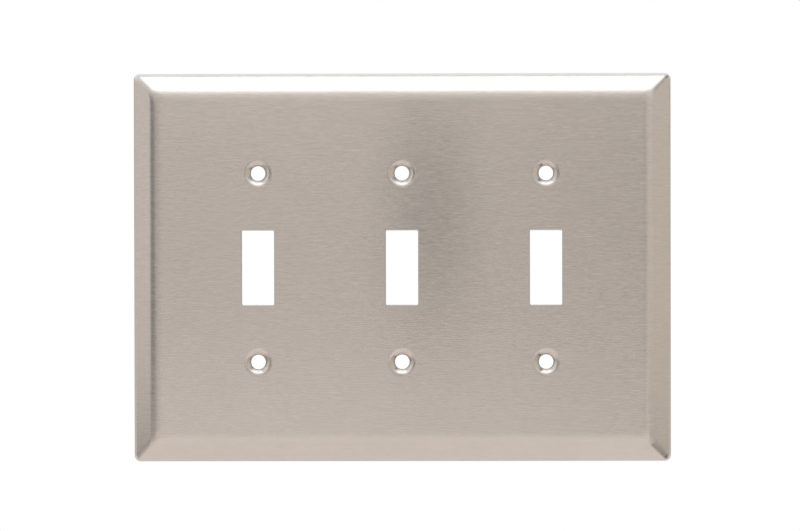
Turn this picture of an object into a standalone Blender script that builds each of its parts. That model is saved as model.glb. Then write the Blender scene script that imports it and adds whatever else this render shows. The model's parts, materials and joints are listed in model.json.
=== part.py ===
"""Wall plate for three toggle switches, stamped from one sheet of stainless steel.

The plate stands upright, the way it hangs on a wall. X runs across it, Z runs up it and
its face looks along -Y. The origin is the middle of the plate in the plane of the wall,
which is the plane of the cut edge at the back of its rim. All lengths are in metres.
"""

from math import cos, pi, radians, sin, tan

import bmesh
import bpy

# Outside size of the plate, and the sheet that it is stamped from.
PLATE_WIDTH = 0.1722
PLATE_HEIGHT = 0.1244
PLATE_DEPTH = 0.0056
SHEET_THICKNESS = 0.00081

# Cross-section of the edge, with outside radii. From the wall forwards: a short upright
# skirt, the rim bend, the straight bevel and the shoulder bend, which ends in the face.
SKIRT_HEIGHT = 0.0001
RIM_BEND_RADIUS = 0.0026
BEVEL_SLOPE = radians(32)
SHOULDER_BEND_RADIUS = 0.0055
RIM_CORNER_RADIUS = 0.0019
FACE_CORNER_RADIUS = 0.0032

# Standard spacing of switches side by side, and of the two screws of one switch.
GANGS = 3
GANG_PITCH = 0.04602
SCREW_PITCH = 0.06033

# Opening that a toggle lever comes through.
OPENING_WIDTH = 0.0103
OPENING_HEIGHT = 0.0238
OPENING_CORNER_RADIUS = 0.0004

# Formed dimple for a No. 6 oval-head screw. The land is the flat ring on the back, where
# the dimple ends round its hole.
SCREW_HOLE_RADIUS = 0.00233
DIMPLE_MOUTH_RADIUS = 0.00465
DIMPLE_BEND_RADIUS = 0.0024
DIMPLE_CONE_SLOPE = radians(40)
DIMPLE_WALL_HEIGHT = 0.00063

# How finely the round stretches are divided.
RIM_BEND_STEPS = 5
SHOULDER_BEND_STEPS = 6
CORNER_STEPS = 6
OPENING_CORNER_STEPS = 3
DIMPLE_BEND_STEPS = 4
HOLE_STEPS = 24

# Angle between two facets above which the edge between them is drawn sharp.
SHARP_ANGLE = radians(35)

STEEL_COLOUR = (0.47, 0.43, 0.39, 1.0)
STEEL_ROUGHNESS = 0.35


def clear_scene():
    """Remove every object that the open file holds."""
    for old_object in list(bpy.data.objects):
        bpy.data.objects.remove(old_object, do_unlink=True)


def brushed_steel():
    """Warm grey brushed stainless steel."""
    material = bpy.data.materials.new("brushed_stainless_steel")
    material.use_nodes = True
    shader = material.node_tree.nodes["Principled BSDF"]
    shader.inputs["Base Color"].default_value = STEEL_COLOUR
    shader.inputs["Metallic"].default_value = 1.0
    shader.inputs["Roughness"].default_value = STEEL_ROUGHNESS
    return material


def bevel_width():
    """Distance from the outside of the rim to where the face becomes flat."""
    bevel_rise = (PLATE_DEPTH - SKIRT_HEIGHT
                  - RIM_BEND_RADIUS * cos(BEVEL_SLOPE)
                  - SHOULDER_BEND_RADIUS * (1 - cos(BEVEL_SLOPE)))
    return (RIM_BEND_RADIUS * (1 - sin(BEVEL_SLOPE))
            + bevel_rise / tan(BEVEL_SLOPE)
            + SHOULDER_BEND_RADIUS * sin(BEVEL_SLOPE))


def spread(start, end, steps):
    """Numbers from start to end, both included, in even steps."""
    return [start + (end - start) * step / steps for step in range(steps + 1)]


def rounded_rectangle(width, height, radius, corner_steps):
    """Outline as (x, z) points, anticlockwise from the right-hand side's upper end."""
    points = []
    for corner in range(4):
        middle = pi / 4 + corner * pi / 2
        side_x = 1 if cos(middle) > 0 else -1
        side_z = 1 if sin(middle) > 0 else -1
        for angle in spread(middle - pi / 4, middle + pi / 4, corner_steps):
            points.append((side_x * (width / 2 - radius) + radius * cos(angle),
                           side_z * (height / 2 - radius) + radius * sin(angle)))
    return points


def circle(radius, centre_x, centre_z):
    """Outline of a screw hole or dimple as (x, z) points."""
    angles = spread(0, 2 * pi, HOLE_STEPS)[:-1]
    return [(centre_x + radius * cos(angle), centre_z + radius * sin(angle))
            for angle in angles]


def add_loop(mesh, outline, y):
    """Add the points of an outline to the mesh, at depth y."""
    return [mesh.verts.new((x, y, z)) for x, z in outline]


def join_loops(mesh, loops):
    """Skin a list of loops with quads, each loop to the next one."""
    for near, far in zip(loops, loops[1:]):
        for index in range(len(near)):
            following = (index + 1) % len(near)
            mesh.faces.new((near[index], near[following], far[following], far[index]))


def fill_flat(mesh, loops):
    """Fill the flat area inside the first loop and outside the others."""
    edges = []
    for loop in loops:
        for index in range(len(loop)):
            edges.append(mesh.edges.get((loop[index - 1], loop[index])))
    bmesh.ops.triangle_fill(mesh, use_beauty=True, edges=edges)


def edge_loops(mesh, sink):
    """Loops from the rim's cut edge to the flat of the face.

    sink is how far this side of the sheet lies under its outer side: 0 for the front,
    the sheet's thickness for the back. tilt is the angle of the sheet's outward normal
    from the face's normal.
    """
    full_width = bevel_width()
    rows = [(0.0, 0.0, pi / 2)]
    for tilt in spread(pi / 2, BEVEL_SLOPE, RIM_BEND_STEPS):
        rows.append((RIM_BEND_RADIUS * (1 - sin(tilt)),
                     SKIRT_HEIGHT + RIM_BEND_RADIUS * cos(tilt), tilt))
    for tilt in spread(BEVEL_SLOPE, 0, SHOULDER_BEND_STEPS):
        rows.append((full_width - SHOULDER_BEND_RADIUS * sin(tilt),
                     PLATE_DEPTH - SHOULDER_BEND_RADIUS * (1 - cos(tilt)), tilt))
    loops = []
    for inset, height, tilt in rows:
        inward = sink * sin(tilt)
        radius = RIM_CORNER_RADIUS + (FACE_CORNER_RADIUS - RIM_CORNER_RADIUS) * inset / full_width
        outline = rounded_rectangle(PLATE_WIDTH - 2 * (inset + inward),
                                    PLATE_HEIGHT - 2 * (inset + inward),
                                    radius - inward, CORNER_STEPS)
        loops.append(add_loop(mesh, outline, sink * cos(tilt) - height))
    return loops


def opening_loops(mesh, centre_x):
    """Front and back loops of one toggle opening."""
    outline = rounded_rectangle(OPENING_WIDTH, OPENING_HEIGHT,
                                OPENING_CORNER_RADIUS, OPENING_CORNER_STEPS)
    outline = [(centre_x + x, z) for x, z in outline]
    front = add_loop(mesh, outline, -PLATE_DEPTH)
    back = add_loop(mesh, outline, SHEET_THICKNESS - PLATE_DEPTH)
    return [front, back]


def dimple_bend(sink):
    """Radius and depth of the points of the bend at the dimple's mouth, mouth first.

    sink is 0 on the front of the sheet and the sheet's thickness on its back.
    """
    bend_radius = DIMPLE_BEND_RADIUS - sink
    return [(DIMPLE_MOUTH_RADIUS - bend_radius * sin(tilt),
             DIMPLE_BEND_RADIUS - bend_radius * cos(tilt))
            for tilt in spread(0, DIMPLE_CONE_SLOPE, DIMPLE_BEND_STEPS)]


def dimple_profile():
    """Radius and depth under the face, from the mouth through the hole and round its back."""
    front = dimple_bend(0)
    back = dimple_bend(SHEET_THICKNESS)
    cone_radius, cone_depth = front[-1]
    hole_depth = cone_depth + (cone_radius - SCREW_HOLE_RADIUS) * tan(DIMPLE_CONE_SLOPE)
    land_depth = hole_depth + DIMPLE_WALL_HEIGHT
    cone_radius, cone_depth = back[-1]
    land_radius = cone_radius - (land_depth - cone_depth) / tan(DIMPLE_CONE_SLOPE)
    hole = [(SCREW_HOLE_RADIUS, hole_depth), (SCREW_HOLE_RADIUS, land_depth)]
    return front + hole + [(land_radius, land_depth)] + back[::-1]


def dimple_loops(mesh, centre_x, centre_z):
    """Loops of one screw dimple, from its mouth in the face to its root on the back."""
    return [add_loop(mesh, circle(radius, centre_x, centre_z), depth - PLATE_DEPTH)
            for radius, depth in dimple_profile()]


def wall_plate_mesh():
    """The whole plate as one closed sheet of metal, hollow behind."""
    mesh = bmesh.new()
    front_edge = edge_loops(mesh, 0)
    back_edge = edge_loops(mesh, SHEET_THICKNESS)
    join_loops(mesh, front_edge[::-1] + back_edge)
    front_holes = []
    back_holes = []
    for gang in range(GANGS):
        centre_x = (gang - (GANGS - 1) / 2) * GANG_PITCH
        for loops in (opening_loops(mesh, centre_x),
                      dimple_loops(mesh, centre_x, SCREW_PITCH / 2),
                      dimple_loops(mesh, centre_x, -SCREW_PITCH / 2)):
            join_loops(mesh, loops)
            front_holes.append(loops[0])
            back_holes.append(loops[-1])
    fill_flat(mesh, [front_edge[-1]] + front_holes)
    fill_flat(mesh, [back_edge[-1]] + back_holes)
    bmesh.ops.recalc_face_normals(mesh, faces=mesh.faces)
    return mesh


def build_wall_plate():
    """The plate as an object, its bends shaded smooth and its cut edges sharp."""
    data = bpy.data.meshes.new("wall_plate")
    mesh = wall_plate_mesh()
    mesh.to_mesh(data)
    mesh.free()
    data.shade_smooth()
    data.set_sharp_from_angle(angle=SHARP_ANGLE)
    data.materials.append(brushed_steel())
    plate = bpy.data.objects.new("wall_plate", data)
    bpy.context.scene.collection.objects.link(plate)
    return plate


clear_scene()
build_wall_plate()
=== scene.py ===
"""Brushed stainless steel wall plate for three toggle switches, under soft studio light.

The plate hangs upright, with its face along -Y and its rim's cut edge in the plane y = 0.
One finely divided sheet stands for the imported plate. All lengths are in metres.
"""

import json
from math import ceil, cos, pi, radians, sin, tan

import bmesh
import bpy
from mathutils import Matrix, Vector
from mathutils.geometry import delaunay_2d_cdt


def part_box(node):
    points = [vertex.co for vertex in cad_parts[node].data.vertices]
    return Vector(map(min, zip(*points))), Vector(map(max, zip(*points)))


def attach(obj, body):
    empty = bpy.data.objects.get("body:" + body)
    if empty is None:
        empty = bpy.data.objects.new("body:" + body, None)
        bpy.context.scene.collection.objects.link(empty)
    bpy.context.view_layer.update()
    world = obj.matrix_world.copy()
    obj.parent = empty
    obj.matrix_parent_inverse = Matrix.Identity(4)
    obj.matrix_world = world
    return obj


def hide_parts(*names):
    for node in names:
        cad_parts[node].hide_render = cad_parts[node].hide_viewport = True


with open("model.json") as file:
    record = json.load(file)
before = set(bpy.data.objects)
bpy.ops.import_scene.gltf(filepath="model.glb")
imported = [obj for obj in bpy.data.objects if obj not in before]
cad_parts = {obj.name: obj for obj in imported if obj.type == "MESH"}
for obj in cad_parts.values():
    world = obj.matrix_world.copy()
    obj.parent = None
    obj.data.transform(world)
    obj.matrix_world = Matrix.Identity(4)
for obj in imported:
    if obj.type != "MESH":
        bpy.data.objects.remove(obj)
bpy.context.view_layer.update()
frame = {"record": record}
record = frame["record"]

# ---------------------------------------------------------------- plate's dimensions

low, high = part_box("wall_plate")
PLATE_WIDTH = high.x - low.x
PLATE_HEIGHT = high.z - low.z
PLATE_DEPTH = high.y - low.y
OPENING_BOXES = [opening["box_m"] for opening in record["physics"]["openings"]
                 if opening["name"].endswith("toggle_opening")]
GANG_CENTRES = [(box[0][0] + box[1][0]) / 2 for box in OPENING_BOXES]
SEATS = [mount["pos_m"] for mount in record["mounts"] if mount["name"].endswith("screw_seat")]
SEAT_HEIGHTS = sorted({round(seat[2], 6) for seat in SEATS})

SHEET_THICKNESS = 0.00081

# Edge of the plate, from the wall forwards, with outside radii. The corners of its cut
# edge are drawn in over the height of the skirt.
CUT_EDGE_ROUNDING = 0.00008
SKIRT_HEIGHT = 0.0001
RIM_BEND_RADIUS = 0.0026
BEVEL_SLOPE = radians(32)
SHOULDER_LENGTH = 0.0049
SHOULDER_EASE = 1.6
RIM_CORNER_RADIUS = 0.0019
FACE_CORNER_RADIUS = 0.0032

OPENING_WIDTH = 0.0103
OPENING_HEIGHT = 0.0238
OPENING_CORNER_RADIUS = 0.0004
OPENING_EDGE_ROLL = 0.00018

SCREW_HOLE_RADIUS = 0.00233
HOLE_EDGE_ROUNDING = 0.0008
DIMPLE_MOUTH_RADIUS = 0.00465
DIMPLE_BEND_RADIUS = 0.0024
DIMPLE_CONE_SLOPE = radians(40)
# The land is the flat ring round the hole on the dimple's back, where the seats are.
DIMPLE_LAND_DEPTH = PLATE_DEPTH + SEATS[0][1]

# Width of the narrow band of flat sheet round each opening and dimple, which keeps their
# bent shading off the face.
GUARD = 0.00012

# The pressed sheet isn't quite flat: how far its face dips, over what distance from the
# shoulders the dips set in, and how high its short wave is beside its long ones.
WAVE_DEPTH = 0.000016
WAVE_FADE = 0.012
SHORT_WAVE_SHARE = 0.4

# How finely the sheet is divided.
GRID = 0.0025
RIM_BEND_STEPS = 10
SHOULDER_BEND_STEPS = 24
CORNER_STEPS = 14
OPENING_CORNER_STEPS = 5
OPENING_SIDE_STEPS = (10, 5)
EDGE_ROLL_STEPS = 4
DIMPLE_BEND_STEPS = 10
DIMPLE_CONE_STEPS = 4
HOLE_ROUNDING_STEPS = 8
HOLE_STEPS = 64

# Loops of an opening, and of a hole's rounded edge, that the brushed front reaches over.
OPENING_BRUSHED_LOOPS = 4
HOLE_BRUSHED_LOOPS = 2

# Bends sharper than this are shaded as edges.
SHARP_ANGLE = radians(40)

# Material slots of the stamped plate, in their order.
FRONT = 0
BACK = 1
CUT_EDGE = 2


# ---------------------------------------------------------------- stamped sheet

def spread(start, end, steps):
    """Numbers from start to end, both included, in even steps."""
    return [start + (end - start) * step / steps for step in range(steps + 1)]


def rounded_rectangle(width, height, radius, corner_steps, side_steps):
    """Outline as (x, z, outward x, outward z), anticlockwise from the right side's top.

    side_steps divides the upright and the level sides, so that the outline has points
    along them as well as round its corners.
    """
    points = []
    for corner in range(4):
        middle = pi / 4 + corner * pi / 2
        centre_x = (width / 2 - radius) * (1 if cos(middle) > 0 else -1)
        centre_z = (height / 2 - radius) * (1 if sin(middle) > 0 else -1)
        for angle in spread(middle - pi / 4, middle + pi / 4, corner_steps):
            points.append((centre_x + radius * cos(angle), centre_z + radius * sin(angle),
                           cos(angle), sin(angle)))
        along_x, along_z = -sin(middle + pi / 4), cos(middle + pi / 4)
        upright = abs(along_z) > abs(along_x)
        side = (height if upright else width) - 2 * radius
        steps = side_steps[0] if upright else side_steps[1]
        last_x, last_z, out_x, out_z = points[-1]
        for step in range(1, steps):
            distance = side * step / steps
            points.append((last_x + along_x * distance, last_z + along_z * distance,
                           out_x, out_z))
    return points


def circle(radius, centre_x, centre_z):
    """Outline of a screw hole or dimple, in the same form as a rounded rectangle."""
    return [(centre_x + radius * cos(angle), centre_z + radius * sin(angle), 0.0, 0.0)
            for angle in spread(0, 2 * pi, HOLE_STEPS)[:-1]]


def add_loop(mesh, outline, y):
    """Add the points of an outline to the mesh at depth y, with their grain coordinates.

    The grain runs level over the whole sheet, as it was brushed before it was bent, so
    the coordinates unroll the bevelled sides. They set which way reflections are drawn out.
    """
    grain = mesh.verts.layers.float_vector["grain"]
    unrolled = y + PLATE_DEPTH
    loop = []
    for x, z, out_x, out_z in outline:
        vertex = mesh.verts.new((x, y, z))
        vertex[grain] = (x + out_x * unrolled, z + out_z * unrolled, 0.0)
        loop.append(vertex)
    return loop


def join_loops(mesh, loops, slot):
    """Skin a list of loops with quads, each loop to the next one."""
    for near, far in zip(loops, loops[1:]):
        for index in range(len(near)):
            following = (index + 1) % len(near)
            face = mesh.faces.new((near[index], near[following], far[following], far[index]))
            face.material_index = slot


def fill_flat(mesh, boundary, holes, slot):
    """Fill the flat area between the boundary loop and the holes with even triangles."""
    border = list(boundary)
    loops = [list(range(len(boundary)))]
    for hole in holes:
        loops.append(list(range(len(border), len(border) + len(hole))))
        border += hole
    y = boundary[0].co.y
    points = [Vector((vertex.co.x, vertex.co.z)) for vertex in border]
    half_width = max(point.x for point in points)
    half_height = max(point.y for point in points)
    columns = ceil(2 * half_width / GRID)
    rows = ceil(2 * half_height / GRID)
    for column in range(1, columns):
        for row in range(1, rows):
            stagger = 0.25 if row % 2 else -0.25
            x = -half_width + 2 * half_width * (column + stagger) / columns
            z = -half_height + 2 * half_height * row / rows
            if clear_of_edges(x, z, half_width, half_height):
                points.append(Vector((x, z)))
    edges = [(loop[index - 1], loop[index]) for loop in loops for index in range(len(loop))]
    inside_only = 1
    merge_distance = 1e-7
    coords, _, triangles, sources, _, _ = delaunay_2d_cdt(points, edges, [], inside_only,
                                                          merge_distance)
    vertices = []
    for coord, source in zip(coords, sources):
        known = [index for index in source if index < len(border)]
        if known:
            vertices.append(border[known[0]])
        else:
            vertices += add_loop(mesh, [(coord.x, coord.y, 0.0, 0.0)], y)
    hole_sets = [set(hole) for hole in holes]
    for triangle in triangles:
        corners = [vertices[index] for index in triangle]
        if not any(hole.issuperset(corners) for hole in hole_sets):
            face = mesh.faces.new(corners)
            face.material_index = slot


def clear_of_edges(x, z, half_width, half_height):
    """Whether a point of the grid is far enough inside the flat area."""
    gap = GRID / 2
    if half_width - abs(x) < gap or half_height - abs(z) < gap:
        return False
    for centre_x in GANG_CENTRES:
        if abs(x - centre_x) < OPENING_WIDTH / 2 + gap and abs(z) < OPENING_HEIGHT / 2 + gap:
            return False
        for centre_z in SEAT_HEIGHTS:
            if (x - centre_x) ** 2 + (z - centre_z) ** 2 < (DIMPLE_MOUTH_RADIUS + gap) ** 2:
                return False
    return True


def edge_section():
    """Outer side of the edge, from the rim's skirt to the flat of the face.

    Each row holds the inset from the outside of the rim, the height off the wall and the
    tilt of the outward normal from the face's normal. The shoulder bends most where it
    leaves the bevel and eases out into the face.
    """
    rows = [(RIM_BEND_RADIUS * (1 - sin(tilt)), SKIRT_HEIGHT + RIM_BEND_RADIUS * cos(tilt), tilt)
            for tilt in spread(pi / 2, BEVEL_SLOPE, RIM_BEND_STEPS)]
    step_length = SHOULDER_LENGTH / SHOULDER_BEND_STEPS
    shoulder = [(step_length * cos(tilt), step_length * sin(tilt))
                for tilt in (shoulder_tilt(step + 0.5) for step in range(SHOULDER_BEND_STEPS))]
    inset, height, tilt = rows[-1]
    bevel_rise = PLATE_DEPTH - height - sum(rise for run, rise in shoulder)
    inset += bevel_rise / tan(BEVEL_SLOPE)
    height += bevel_rise
    rows.append((inset, height, BEVEL_SLOPE))
    for step, (run, rise) in enumerate(shoulder):
        inset += run
        height += rise
        rows.append((inset, height, shoulder_tilt(step + 1)))
    return rows


def shoulder_tilt(step):
    """Tilt of the shoulder after a number of its steps, from the bevel's slope to flat."""
    return BEVEL_SLOPE * (1 - step / SHOULDER_BEND_STEPS) ** SHOULDER_EASE


def edge_loops(mesh, sink):
    """Loops from the rim's cut edge to the flat of the face, on one side of the sheet.

    sink is 0 for the front and the sheet's thickness for the back.
    """
    section = edge_section()
    full_width = section[-1][0]
    side_steps = (ceil(PLATE_HEIGHT / (2 * GRID)), ceil(PLATE_WIDTH / (2 * GRID)))

    def loop(inset, height, tilt, extra=0.0):
        inward = sink * sin(tilt) + extra
        radius = RIM_CORNER_RADIUS + (FACE_CORNER_RADIUS - RIM_CORNER_RADIUS) * inset / full_width
        outline = rounded_rectangle(PLATE_WIDTH - 2 * (inset + inward),
                                    PLATE_HEIGHT - 2 * (inset + inward),
                                    radius - inward, CORNER_STEPS, side_steps)
        return add_loop(mesh, outline, sink * cos(tilt) - height)

    edge_inset = -CUT_EDGE_ROUNDING if sink else CUT_EDGE_ROUNDING
    loops = [loop(0.0, 0.0, pi / 2, edge_inset)]
    return loops + [loop(*row) for row in section]


def opening_loops(mesh, centre_x):
    """Loops of a toggle opening: over the rolled front edge, then straight to the back."""
    rows = [(OPENING_EDGE_ROLL + GUARD, 0.0)]
    rows += [(OPENING_EDGE_ROLL * (1 - sin(tilt)), OPENING_EDGE_ROLL * (1 - cos(tilt)))
             for tilt in spread(0, pi / 2, EDGE_ROLL_STEPS)]
    rows.append((0.0, SHEET_THICKNESS))
    loops = []
    for grown, depth in rows:
        outline = rounded_rectangle(OPENING_WIDTH + 2 * grown, OPENING_HEIGHT + 2 * grown,
                                    OPENING_CORNER_RADIUS + grown, OPENING_CORNER_STEPS,
                                    OPENING_SIDE_STEPS)
        outline = [(centre_x + x, z, 0.0, 0.0) for x, z, _, _ in outline]
        loops.append(add_loop(mesh, outline, depth - PLATE_DEPTH))
    return loops


def dimple_bend(sink):
    """Radius and depth of the points of the bend at the dimple's mouth, mouth first."""
    bend_radius = DIMPLE_BEND_RADIUS - sink
    return [(DIMPLE_MOUTH_RADIUS - bend_radius * sin(tilt),
             DIMPLE_BEND_RADIUS - bend_radius * cos(tilt))
            for tilt in spread(0, DIMPLE_CONE_SLOPE, DIMPLE_BEND_STEPS)]


def dimple_profiles():
    """Front, hole, land and back of a dimple, as lists of radius and depth under the face.

    Each list starts with the last point of the one before it.
    """
    front = [(DIMPLE_MOUTH_RADIUS + GUARD, 0.0)] + dimple_bend(0)
    cone_radius, cone_depth = front[-1]
    rounding = HOLE_EDGE_ROUNDING
    touch_radius = SCREW_HOLE_RADIUS + rounding * (1 - sin(DIMPLE_CONE_SLOPE))
    touch_depth = cone_depth + (cone_radius - touch_radius) * tan(DIMPLE_CONE_SLOPE)
    centre_depth = touch_depth + rounding * cos(DIMPLE_CONE_SLOPE)
    for radius in spread(cone_radius, touch_radius, DIMPLE_CONE_STEPS)[1:-1]:
        front.append((radius, cone_depth + (cone_radius - radius) * tan(DIMPLE_CONE_SLOPE)))
    rounded = [(SCREW_HOLE_RADIUS + rounding * (1 - sin(tilt)), centre_depth - rounding * cos(tilt))
               for tilt in spread(DIMPLE_CONE_SLOPE, pi / 2, HOLE_ROUNDING_STEPS)]
    front += rounded[:HOLE_BRUSHED_LOOPS]
    back = dimple_bend(SHEET_THICKNESS)
    cone_radius, cone_depth = back[-1]
    land_radius = cone_radius - (DIMPLE_LAND_DEPTH - cone_depth) / tan(DIMPLE_CONE_SLOPE)
    hole = rounded[HOLE_BRUSHED_LOOPS - 1:] + [(SCREW_HOLE_RADIUS, DIMPLE_LAND_DEPTH)]
    land = [hole[-1], (land_radius, DIMPLE_LAND_DEPTH)]
    back = [land[-1]] + back[::-1] + [(DIMPLE_MOUTH_RADIUS + GUARD, SHEET_THICKNESS)]
    return front, hole, land, back


def dimple_loops(mesh, centre_x, centre_z):
    """Skin one screw dimple. Returns its mouth in the face and its root on the back."""
    mouth = None
    previous = None
    for stretch, slot in zip(dimple_profiles(), (FRONT, CUT_EDGE, CUT_EDGE, BACK)):
        loops = [previous] if previous else []
        for radius, depth in stretch[len(loops):]:
            loops.append(add_loop(mesh, circle(radius, centre_x, centre_z), depth - PLATE_DEPTH))
        join_loops(mesh, loops, slot)
        mouth = mouth or loops[0]
        previous = loops[-1]
    return mouth, previous


def wave(x, z):
    """Gentle unevenness of the pressed face, from 0 to 1.

    Three long waves, about 75 to 95 mm from crest to crest, cross a short one of 32 mm.
    """
    across = sin(x * 71 + 1.3 * sin(z * 37))
    upwards = sin(z * 83 + 0.9 * sin(x * 29 + 1.0))
    slanting = sin((x + z) * 47 + 2.0)
    short = sin((x - 1.4 * z) * 113 + 0.5) * SHORT_WAVE_SHARE
    largest = 3 + SHORT_WAVE_SHARE
    return 0.5 + (across + upwards + slanting + short) / (2 * largest)


def dip_face(mesh):
    """Let the sheet dip slightly between its shoulders, front and back together."""
    width = edge_section()[-1][0]
    for vertex in mesh.verts:
        inside = min(PLATE_WIDTH / 2 - width - abs(vertex.co.x),
                     PLATE_HEIGHT / 2 - width - abs(vertex.co.z))
        if inside > 0:
            way_in = min(inside / WAVE_FADE, 1.0)
            share = way_in * way_in * (3 - 2 * way_in)
            vertex.co.y += WAVE_DEPTH * share * wave(vertex.co.x, vertex.co.z)


def stamped_plate():
    """The finely divided sheet, with its brushed front, mill-finished back and cut edges."""
    mesh = bmesh.new()
    mesh.verts.layers.float_vector.new("grain")
    front_edge = edge_loops(mesh, 0)
    back_edge = edge_loops(mesh, SHEET_THICKNESS)
    join_loops(mesh, front_edge, FRONT)
    join_loops(mesh, back_edge, BACK)
    join_loops(mesh, [front_edge[0], back_edge[0]], CUT_EDGE)
    front_holes = []
    back_holes = []
    for centre_x in GANG_CENTRES:
        loops = opening_loops(mesh, centre_x)
        join_loops(mesh, loops[:OPENING_BRUSHED_LOOPS], FRONT)
        join_loops(mesh, loops[OPENING_BRUSHED_LOOPS - 1:], CUT_EDGE)
        front_holes.append(loops[0])
        back_holes.append(loops[-1])
        for centre_z in SEAT_HEIGHTS:
            mouth, root = dimple_loops(mesh, centre_x, centre_z)
            front_holes.append(mouth)
            back_holes.append(root)
    fill_flat(mesh, front_edge[-1], front_holes, FRONT)
    fill_flat(mesh, back_edge[-1], back_holes, BACK)
    dip_face(mesh)
    bmesh.ops.recalc_face_normals(mesh, faces=mesh.faces)

    grain = mesh.verts.layers.float_vector["grain"]
    uv = mesh.loops.layers.uv.new("grain")
    for face in mesh.faces:
        face.smooth = True
        for corner in face.loops:
            corner[uv].uv = corner.vert[grain].xy
    data = bpy.data.meshes.new("stamped_plate")
    mesh.to_mesh(data)
    mesh.free()
    data.set_sharp_from_angle(angle=SHARP_ANGLE)
    plate = bpy.data.objects.new("stamped_plate", data)
    bpy.context.scene.collection.objects.link(plate)
    return plate


# ---------------------------------------------------------------- materials

# Darkest and lightest colour of each finish.
BRUSHED_COLOURS = ((0.608, 0.534, 0.472), (0.730, 0.642, 0.570))
MILL_COLOURS = ((0.50, 0.485, 0.465), (0.60, 0.585, 0.565))
CUT_COLOURS = ((0.26, 0.235, 0.21), (0.36, 0.33, 0.30))
FLOOR_COLOURS = ((0.84, 0.757, 0.70), (0.87, 0.787, 0.73))


class Nodes:
    """Short way to add and link shader nodes in one tree."""

    def __init__(self, tree):
        self.tree = tree

    def add(self, kind, inputs=None, **settings):
        """Add a node, set its properties, and set or link its inputs."""
        node = self.tree.nodes.new(kind)
        for name, value in settings.items():
            setattr(node, name, value)
        for name, value in (inputs or {}).items():
            if isinstance(value, bpy.types.NodeSocket):
                self.tree.links.new(value, node.inputs[name])
            else:
                node.inputs[name].default_value = value
        return node

    def math(self, operation, first, second=0.0, third=0.0):
        """Result of one Math node."""
        return self.add("ShaderNodeMath", {0: first, 1: second, 2: third},
                        operation=operation).outputs[0]

    def weighted(self, first, first_share, second):
        """Sum of two values, of which the first has its share and the second the rest."""
        return self.math("ADD", self.math("MULTIPLY", first, first_share),
                         self.math("MULTIPLY", second, 1 - first_share))

    def between(self, fac, start, end):
        """Value that runs from start to end as fac runs from 0 to 1."""
        return self.math("MULTIPLY_ADD", fac, end - start, start)

    def stretched_noise(self, coords, size, detail=3.0, roughness=0.55, offset=(0, 0, 0)):
        """Noise whose blotches measure size, in metres, along X, Y and Z."""
        scale = [1 / length for length in size]
        mapped = self.add("ShaderNodeMapping", {"Vector": coords, "Scale": scale,
                                                "Location": offset})
        return self.add("ShaderNodeTexNoise",
                        {"Vector": mapped.outputs[0], "Scale": 1.0, "Detail": detail,
                         "Roughness": roughness}).outputs["Fac"]

    def ramp(self, fac, stops):
        """Colour ramp through (position, colour) stops."""
        node = self.add("ShaderNodeValToRGB", {"Fac": fac})
        elements = node.color_ramp.elements
        while len(elements) < len(stops):
            elements.new(0.5)
        for element, (position, colour) in zip(elements, stops):
            element.position = position
            element.color = (*colour, 1.0)
        return node.outputs["Color"]

    def colours(self, fac, darkest, lightest, reach=0.2):
        """Colour between two, as fac runs from reach under one half to reach over it."""
        return self.ramp(fac, [(0.5 - reach, darkest), (0.5 + reach, lightest)])


def new_material(name):
    """Empty Principled material, with its shader and its node helper."""
    material = bpy.data.materials.new(name)
    material.use_nodes = True
    return material, material.node_tree.nodes["Principled BSDF"], Nodes(material.node_tree)


def finish_metal(shader, nodes, colour, roughness, relief, bump_strength, bump_depth):
    """Give a metal its colour and its roughness, and a bump of a depth in metres."""
    bump = nodes.add("ShaderNodeBump", {"Height": relief, "Strength": bump_strength,
                                        "Distance": bump_depth})
    nodes.tree.links.new(colour, shader.inputs["Base Color"])
    nodes.tree.links.new(roughness, shader.inputs["Roughness"])
    nodes.tree.links.new(bump.outputs[0], shader.inputs["Normal"])
    shader.inputs["Metallic"].default_value = 1.0


def brushed_front():
    """Warm grey stainless steel with a fine level grain."""
    material, shader, nodes = new_material("brushed_stainless")
    coords = nodes.add("ShaderNodeTexCoord").outputs["Object"]
    streaks = nodes.stretched_noise(coords, (0.0027, 0.003, 0.00027), detail=3.0, roughness=0.6)
    hairs = nodes.stretched_noise(coords, (0.011, 0.003, 0.00030), detail=2.0, roughness=0.5,
                                  offset=(3, 1, 7))
    mottle = nodes.stretched_noise(coords, (0.0005, 0.0005, 0.0004), detail=2.0, roughness=0.6,
                                   offset=(4, 8, 2))
    blotches = nodes.stretched_noise(coords, (0.010, 0.010, 0.006), detail=4.0, roughness=0.6,
                                     offset=(5, 2, 1))
    grain = nodes.weighted(streaks, 0.7, hairs)
    cloud = nodes.weighted(mottle, 0.7, blotches)
    tone = nodes.weighted(grain, 0.6, cloud)
    finish_metal(shader, nodes, nodes.colours(tone, *BRUSHED_COLOURS, reach=0.185),
                 nodes.between(grain, 0.08, 0.30), grain, bump_strength=1.0, bump_depth=0.00004)
    tangent = nodes.add("ShaderNodeTangent", direction_type="UV_MAP", uv_map="grain")
    nodes.tree.links.new(tangent.outputs[0], shader.inputs["Tangent"])
    shader.inputs["Anisotropic"].default_value = 0.95
    shader.inputs["Anisotropic Rotation"].default_value = 0.25
    return material


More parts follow.
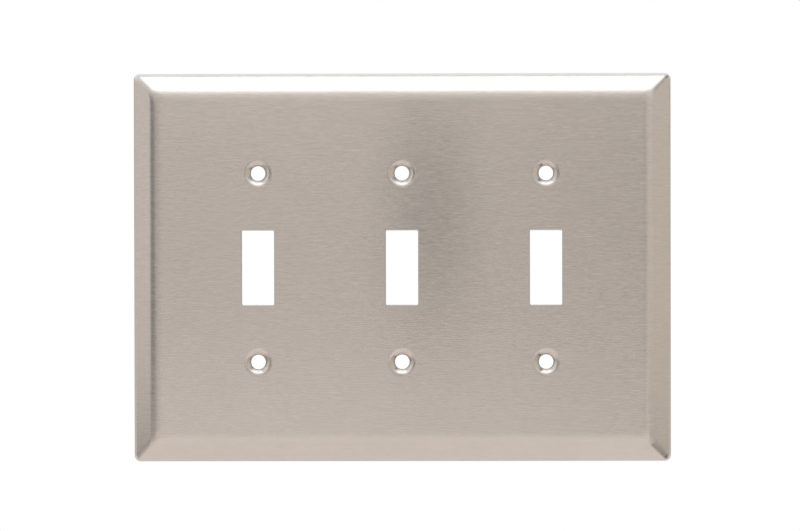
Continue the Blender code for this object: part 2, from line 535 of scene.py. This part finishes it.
def mill_back():
    """Duller grey of the sheet's unbrushed back, with faint rolling marks."""
    material, shader, nodes = new_material("mill_finish")
    coords = nodes.add("ShaderNodeTexCoord").outputs["Object"]
    rolled = nodes.stretched_noise(coords, (0.03, 0.01, 0.0016), detail=4.0)
    cloud = nodes.stretched_noise(coords, (0.02, 0.02, 0.02), detail=5.0, roughness=0.6,
                                  offset=(2, 4, 6))
    tone = nodes.weighted(rolled, 0.5, cloud)
    finish_metal(shader, nodes, nodes.colours(tone, *MILL_COLOURS),
                 nodes.between(cloud, 0.30, 0.44), rolled, bump_strength=0.15, bump_depth=0.00002)
    return material


def cut_steel():
    """Sheared edge of the sheet: darker and rougher than its faces, and finely streaked."""
    material, shader, nodes = new_material("cut_edge")
    coords = nodes.add("ShaderNodeTexCoord").outputs["Object"]
    tearing = nodes.stretched_noise(coords, (0.00025, 0.0012, 0.00025), detail=3.0)
    finish_metal(shader, nodes, nodes.colours(tearing, *CUT_COLOURS),
                 nodes.between(tearing, 0.25, 0.50), tearing, bump_strength=0.4,
                 bump_depth=0.00003)
    return material


# ---------------------------------------------------------------- studio

FLOOR_DROP = 0.075
FLOOR_RADIUS = 0.58
FLOOR_SIDES = 128

# Brightness of the studio at the plate's level, by the bearing in degrees from straight
# ahead of its face, negative to the left.
BEARING_STOPS = [(-180, 0.62), (-64, 0.75), (-55, 0.68), (-48, 0.35), (-40, 0.25),
                 (-32, 0.275), (-24, 0.44), (-16, 0.56), (-8, 0.655), (-3, 0.79), (-1, 0.79),
                 (1, 0.73), (2.5, 0.58), (3.5, 0.50), (8, 0.545), (12, 0.63), (19, 0.71),
                 (40, 0.71), (64, 0.69), (110, 0.66), (180, 0.60)]
# Brightness overhead, by the angle in degrees from straight ahead, over the top, to
# straight behind the plate.
OVERHEAD_STOPS = [(0, 0.82), (25, 0.90), (40, 1.0), (60, 1.15), (80, 0.90), (94, 1.08),
                  (110, 1.3), (136, 1.3), (180, 1.0)]
# Height in degrees over which the surroundings turn from the one into the other.
OVERHEAD_FROM = 4
OVERHEAD_TO = 35
# The tent's colours are its brightness divided by this strength, so that none is over 1.
TENT_STRENGTH = 2.0

# Tints: a room and its wall from these bearings on, and daylight overhead, which is
# cooler from this angle on.
NEUTRAL = (1.0, 1.0, 1.0)
WARM_ROOM = (1.0, 0.99, 0.96)
WARM_ROOM_BEARING = 2
WARM_WALL = (1.0, 0.975, 0.91)
WARM_WALL_BEARING = 30
COOL_DAYLIGHT = (0.95, 1.0, 1.06)
COOLER_DAYLIGHT = (0.88, 1.0, 1.13)
COOLER_DAYLIGHT_ANGLE = 70


def pale_floor():
    """Round pale table under the plate."""
    bpy.ops.mesh.primitive_circle_add(vertices=FLOOR_SIDES, radius=FLOOR_RADIUS, fill_type="NGON",
                                      location=(0, 0, low.z - FLOOR_DROP))
    floor = bpy.context.object
    floor.name = "studio_floor"
    material, shader, nodes = new_material("pale_floor")
    coords = nodes.add("ShaderNodeTexCoord").outputs["Object"]
    mottle = nodes.stretched_noise(coords, (0.05, 0.05, 0.05), detail=3.0)
    nodes.tree.links.new(nodes.colours(mottle, *FLOOR_COLOURS), shader.inputs["Base Color"])
    shader.inputs["Roughness"].default_value = 0.9
    floor.data.materials.append(material)


def card(name, size, location, towards, radiance, share, solid, soft):
    """Soft-edged card that only reflections see, at location and facing towards.

    size is its width and height, and share is how much its middle covers of what lies
    behind it. solid is half the width and height of that middle, and soft is how far the
    card's sides and ends take to fade out.
    """
    bpy.ops.mesh.primitive_plane_add(size=1, location=location)
    panel = bpy.context.object
    panel.name = name
    panel.scale = (size[0], size[1], 1)
    facing = Vector(location) - Vector(towards)
    panel.rotation_euler = facing.to_track_quat("Z", "Y").to_euler()
    panel.visible_camera = False
    panel.visible_shadow = False
    panel.visible_diffuse = False
    material = bpy.data.materials.new(name)
    material.use_nodes = True
    nodes = Nodes(material.node_tree)
    nodes.tree.nodes.clear()
    coords = nodes.add("ShaderNodeTexCoord").outputs["Object"]
    part = nodes.add("ShaderNodeSeparateXYZ", {0: coords})
    cover = share
    for axis in (0, 1):
        from_middle = nodes.math("MULTIPLY", nodes.math("ABSOLUTE", part.outputs[axis]), size[axis])
        fade = nodes.add("ShaderNodeMapRange",
                         {"Value": from_middle, "From Min": solid[axis] + soft[axis],
                          "From Max": solid[axis]}, interpolation_type="SMOOTHSTEP")
        cover = nodes.math("MULTIPLY", cover, fade.outputs[0])
    clear = nodes.add("ShaderNodeBsdfTransparent")
    glow = nodes.add("ShaderNodeEmission", {"Color": (radiance, radiance, radiance, 1.0),
                                            "Strength": 1.0})
    mixed = nodes.add("ShaderNodeMixShader", {0: cover, 1: clear.outputs[0], 2: glow.outputs[0]})
    nodes.add("ShaderNodeOutputMaterial", {"Surface": mixed.outputs[0]})
    panel.data.materials.append(material)


def mirrored_cards():
    """The nearer things that the steel mirrors, besides the tent and the floor."""
    # A dark camera ahead of the plate, a blur beside its middle opening, and a faint wide
    # band round it.
    card("camera_card", size=(0.08, 0.16), location=(0.0070, -0.15, 0.017),
         towards=(0.0070, 0, 0.017), radiance=0.27, share=0.66,
         solid=(0.008, 0.010), soft=(0.009, 0.034))
    card("tripod_card", size=(0.3, 0.2), location=(0.0, -0.101, 0.008),
         towards=(0.0, 0, 0.008), radiance=0.30, share=0.22,
         solid=(0.09, 0.02), soft=(0.035, 0.05))
    # Dimmer surroundings low on either side, at the lower ends of the plate's sides.
    card("lower_left_card", size=(0.30, 0.16), location=(-0.23, -0.11, -0.12),
         towards=(-0.05, 0, -0.12), radiance=0.50, share=1.0,
         solid=(0.12, 0.055), soft=(0.03, 0.02))
    card("lower_right_card", size=(0.30, 0.16), location=(0.23, -0.11, -0.13),
         towards=(0.05, 0, -0.13), radiance=0.50, share=0.8,
         solid=(0.12, 0.055), soft=(0.03, 0.02))
    # Darker smears at both lower corners, the right one from a patch of the floor.
    card("left_corner_card", size=(0.06, 0.10), location=(-0.14, -0.03, -0.096),
         towards=(-0.083, 0, -0.096), radiance=0.40, share=0.75,
         solid=(0.02, 0.025), soft=(0.01, 0.025))
    card("right_floor_card", size=(0.14, 0.14), location=(0.165, -0.055, -0.134),
         towards=(0.165, -0.055, 0), radiance=0.08, share=0.85,
         solid=(0.03, 0.03), soft=(0.035, 0.035))
    # A dark line along the upper right mitre, and the wall beside the plate's right side.
    card("right_top_card", size=(0.40, 0.10), location=(0.234, -0.05, 0.21),
         towards=(0.084, -0.05, 0.06), radiance=0.02, share=1.0,
         solid=(0.10, 0.018), soft=(0.09, 0.018))
    card("right_wall_card", size=(0.26, 0.18), location=(0.279, -0.06, 0.125),
         towards=(0.084, 0, 0.06), radiance=0.72, share=1.0,
         solid=(0.08, 0.055), soft=(0.05, 0.03))


def softbox(name, width, height, location, towards, radiance):
    """Large area light that gives off the stated radiance."""
    data = bpy.data.lights.new(name, "AREA")
    data.shape = "RECTANGLE"
    data.size = width
    data.size_y = height
    data.energy = radiance * pi * width * height
    data.color = COOL_DAYLIGHT
    light = bpy.data.objects.new(name, data)
    light.location = location
    light.rotation_euler = (Vector(towards) - Vector(location)).to_track_quat("-Z", "Y").to_euler()
    light.visible_camera = False
    bpy.context.scene.collection.objects.link(light)


def tent_colour(brightness, tint):
    """Colour of the light tent at one of its stops, before the tent's strength."""
    return tuple(brightness / TENT_STRENGTH * part for part in tint)


def bearing_tint(bearing):
    """Tint of the surroundings at a bearing in degrees."""
    if bearing > WARM_WALL_BEARING:
        return WARM_WALL
    return WARM_ROOM if bearing > WARM_ROOM_BEARING else NEUTRAL


def overhead_tint(angle):
    """Tint of the surroundings overhead, at an angle in degrees from straight ahead."""
    return COOLER_DAYLIGHT if angle > COOLER_DAYLIGHT_ANGLE else COOL_DAYLIGHT


def studio_world():
    """White surroundings, with the grey light tent that the steel reflects."""
    world = bpy.data.worlds.new("studio")
    bpy.context.scene.world = world
    world.use_nodes = True
    nodes = Nodes(world.node_tree)
    nodes.tree.nodes.clear()
    direction = nodes.add("ShaderNodeTexCoord").outputs["Generated"]
    part = nodes.add("ShaderNodeSeparateXYZ", {0: direction})
    ahead = nodes.math("MULTIPLY", part.outputs["Y"], -1)
    bearing = nodes.math("ARCTAN2", part.outputs["X"], ahead)
    over = nodes.math("ARCTAN2", nodes.math("MAXIMUM", part.outputs["Z"], 0), ahead)
    height = nodes.math("ARCSINE", part.outputs["Z"])
    around = nodes.ramp(nodes.math("MULTIPLY_ADD", bearing, 1 / (2 * pi), 0.5),
                        [((stop + 180) / 360, tent_colour(value, bearing_tint(stop)))
                         for stop, value in BEARING_STOPS])
    overhead = nodes.ramp(nodes.math("MULTIPLY", over, 1 / pi),
                          [(stop / 180, tent_colour(value, overhead_tint(stop)))
                           for stop, value in OVERHEAD_STOPS])
    share = nodes.add("ShaderNodeMapRange",
                      {"Value": height, "From Min": radians(OVERHEAD_FROM),
                       "From Max": radians(OVERHEAD_TO)}, interpolation_type="SMOOTHSTEP")
    tent = nodes.add("ShaderNodeMixRGB", {"Fac": share.outputs[0], "Color1": around,
                                          "Color2": overhead})
    grey = nodes.add("ShaderNodeBackground", {"Color": tent.outputs[0],
                                              "Strength": TENT_STRENGTH})
    white = nodes.add("ShaderNodeBackground", {"Color": (1, 1, 1, 1), "Strength": 1.0})
    seen = nodes.add("ShaderNodeLightPath").outputs["Is Camera Ray"]
    mixed = nodes.add("ShaderNodeMixShader", {0: seen, 1: grey.outputs[0], 2: white.outputs[0]})
    nodes.add("ShaderNodeOutputWorld", {"Surface": mixed.outputs[0]})


# Camera, from straight ahead of the plate: turns in degrees, distances in metres, and the
# lens and its sensor in millimetres.
CAMERA_DISTANCE = 1.2
CAMERA_PITCH = -0.74
CAMERA_YAW = 0.704
CAMERA_ROLL = 0.11
CAMERA_RIGHT = -0.00072
CAMERA_UP = 0.00060
CAMERA_LENS = 168.25
SENSOR_WIDTH = 36.0


def studio_camera():
    """Long lens a little above and to the right of the plate's middle."""
    turn = (Matrix.Rotation(radians(CAMERA_YAW), 3, "Z")
            @ Matrix.Rotation(radians(CAMERA_PITCH), 3, "X")
            @ Matrix.Rotation(radians(CAMERA_ROLL), 3, "Y"))
    data = bpy.data.cameras.new("camera")
    data.lens = CAMERA_LENS
    data.sensor_width = SENSOR_WIDTH
    data.clip_start = 0.01
    camera = bpy.data.objects.new("camera", data)
    camera.location = turn @ Vector((CAMERA_RIGHT, -CAMERA_DISTANCE, CAMERA_UP))
    camera.rotation_euler = (turn @ Matrix.Rotation(pi / 2, 3, "X")).to_euler()
    bpy.context.scene.collection.objects.link(camera)
    bpy.context.scene.camera = camera


# ---------------------------------------------------------------- put together

studio_camera()
plate = stamped_plate()
for make in (brushed_front, mill_back, cut_steel):
    plate.data.materials.append(make())
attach(plate, "root")
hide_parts("wall_plate")

pale_floor()
studio_world()
softbox("top_softbox", width=0.8, height=0.44, location=(0, -0.36, 0.69),
        towards=(0, 0, 0.06), radiance=0.95)
mirrored_cards()
bpy.context.scene.view_settings.view_transform = "Standard"
